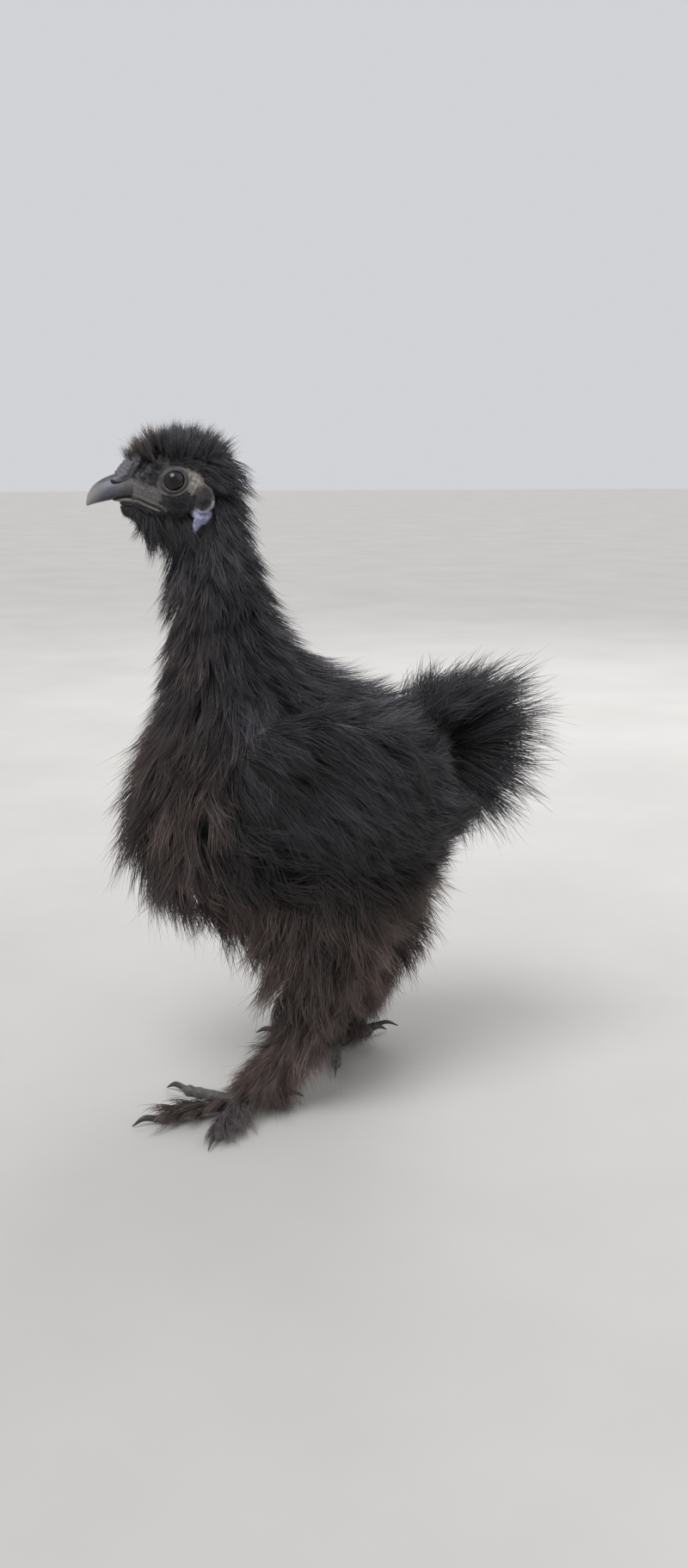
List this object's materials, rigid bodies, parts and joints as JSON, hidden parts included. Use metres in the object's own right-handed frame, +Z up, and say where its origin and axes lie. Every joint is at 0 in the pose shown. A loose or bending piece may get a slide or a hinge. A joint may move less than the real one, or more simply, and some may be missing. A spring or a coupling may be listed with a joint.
{
  "type": "young silkie chicken model",
  "caption": "Life-size still model of a young black silkie chicken, standing with one leg forward, with a crest, fluffy plumage and feathered feet.",
  "frame": {"origin": "the middle of the model's box, at the level of the floor that the toes stand on", "axes": "+Z up, -X the way the beak points, -Y the bird's left side"},
  "size_m": [0.2162, 0.1302, 0.3053],
  "materials": {
    "plumage": "soft, hair-like black feathers, matte",
    "brown_down": "soft sooty brown down, matte",
    "face": "bare grey-brown skin, finely wrinkled",
    "beak": "slate horn, satin, paler at the tip",
    "comb": "dark mulberry skin, bumpy",
    "eye": "wet, nearly black eye with a dark brown iris",
    "earlobe": "pale blue skin",
    "toes": "slate scaled skin",
    "claws": "dark horn, satin"
  },
  "bodies": {
    "root": {"head": "face", "eye_left": "eye", "eye_right": "eye", "upper_beak": "beak", "lower_beak": "beak", "comb": "comb", "earlobe_left": "earlobe", "earlobe_right": "earlobe", "crest": "plumage", "throat": "plumage", "neck": "plumage", "torso": "plumage", "wing_left": "plumage", "wing_right": "plumage", "tail": "plumage", "thigh_left": "brown_down", "thigh_right": "brown_down", "shank_left": "brown_down", "shank_right": "brown_down", "foot_left": "toes", "foot_right": "toes", "toe_left_1": "toes", "toe_left_2": "toes", "toe_left_3": "toes", "toe_left_4": "toes", "toe_left_5": "toes", "toe_right_1": "toes", "toe_right_2": "toes", "toe_right_3": "toes", "toe_right_4": "toes", "toe_right_5": "toes", "claw_left_1": "claws", "claw_left_2": "claws", "claw_left_3": "claws", "claw_left_4": "claws", "claw_left_5": "claws", "claw_right_1": "claws", "claw_right_2": "claws", "claw_right_3": "claws", "claw_right_4": "claws", "claw_right_5": "claws"}
  },
  "joints": []
}
